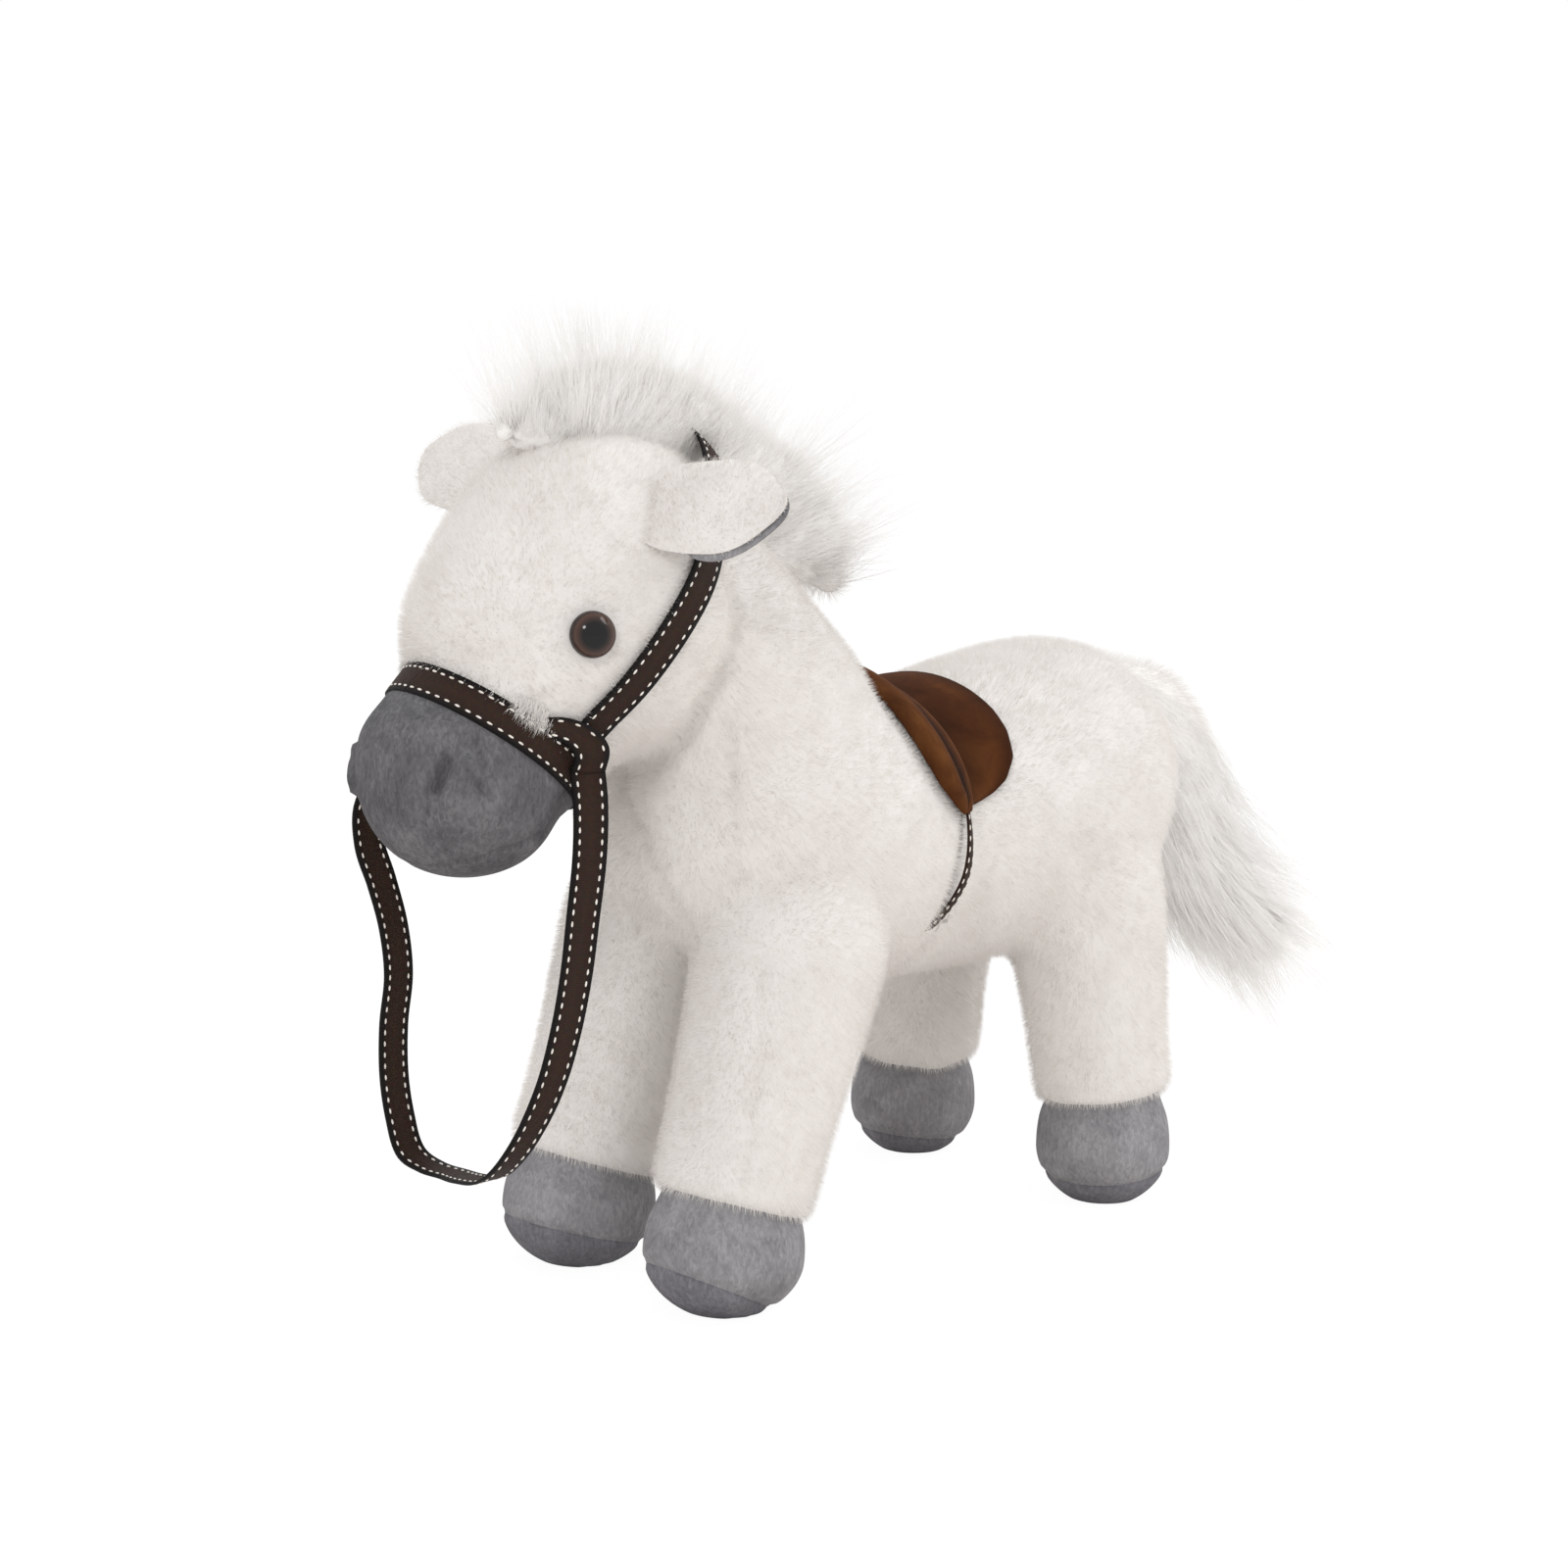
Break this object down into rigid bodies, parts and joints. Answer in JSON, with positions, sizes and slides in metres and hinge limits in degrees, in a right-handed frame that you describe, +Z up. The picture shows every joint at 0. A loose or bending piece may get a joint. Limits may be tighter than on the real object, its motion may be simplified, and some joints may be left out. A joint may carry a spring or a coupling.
{
  "type": "plush horse",
  "caption": "Stuffed plush horse standing on four legs, with fur mane and tail, velboa muzzle and hooves, felt saddle, ribbon halter and hanging ribbon reins.",
  "frame": {"origin": "on the floor under the middle of the horse's box without the reins, midway between the left and right hooves", "axes": "+Z up, -Y the way the head looks, +X the horse's own left side"},
  "size_m": [0.1406, 0.4166, 0.2697],
  "materials": {
    "white_plush": "short cream-white plush pile",
    "white_fur": "long white fur pile",
    "grey_velboa": "grey velboa with a very short nap",
    "dark_velboa": "dark grey velboa with a very short nap",
    "brown_ribbon": "woven dark brown ribbon with pale running stitches along both edges",
    "brown_suede": "brushed brown felt",
    "eye_plastic": "moulded, brown with a black pupil",
    "washer_plastic": "moulded, natural",
    "fibre_fill": "loose polyester fibre"
  },
  "bodies": {
    "horse": {"head_cover": "white_plush", "muzzle_cover": "grey_velboa", "neck_cover": "white_plush", "trunk_cover": "white_plush", "front_left_leg_cover": "white_plush", "front_left_hoof_cover": "grey_velboa", "front_left_hoof_sole": "dark_velboa", "front_right_leg_cover": "white_plush", "front_right_hoof_cover": "grey_velboa", "front_right_hoof_sole": "dark_velboa", "rear_left_leg_cover": "white_plush", "rear_left_hoof_cover": "grey_velboa", "rear_left_hoof_sole": "dark_velboa", "rear_right_leg_cover": "white_plush", "rear_right_hoof_cover": "grey_velboa", "rear_right_hoof_sole": "dark_velboa", "left_eye": "eye_plastic", "left_eye_washer": "washer_plastic", "right_eye": "eye_plastic", "right_eye_washer": "washer_plastic", "polyester_filling": "fibre_fill", "noseband": "brown_ribbon", "headstall": "brown_ribbon", "mane": "white_fur", "saddle": "brown_suede", "girth_strap": "brown_ribbon"},
    "left_ear": {"left_ear_cover": "white_plush", "left_ear_lining": "grey_velboa"},
    "right_ear": {"right_ear_cover": "white_plush", "right_ear_lining": "grey_velboa"},
    "tail": {"tail": "white_fur"},
    "reins": {"reins": "brown_ribbon"}
  },
  "joints": [
    {"name": "left_ear_flap", "type": "hinge", "parent": "horse", "child": "left_ear", "pos_m": [0.0409, -0.1326, 0.2246], "axis": [-0.035, 0.595, 0.803], "range_deg": [-25, 15], "stiffness_Nm_per_rad": 0.01},
    {"name": "right_ear_flap", "type": "hinge", "parent": "horse", "child": "right_ear", "pos_m": [-0.0404, -0.1339, 0.2265], "axis": [0.23, 0.6601, 0.7151], "range_deg": [-15, 25], "stiffness_Nm_per_rad": 0.01},
    {"name": "tail_lift", "type": "hinge", "parent": "horse", "child": "tail", "pos_m": [0, 0.0757, 0.1765], "axis": [1, 0, 0], "range_deg": [0, 50]},
    {"name": "reins_swing", "type": "hinge", "parent": "horse", "child": "reins", "pos_m": [0, -0.1635, 0.158], "axis": [1, 0, 0], "range_deg": [-35, 12], "stiffness_Nm_per_rad": 0.002}
  ]
}
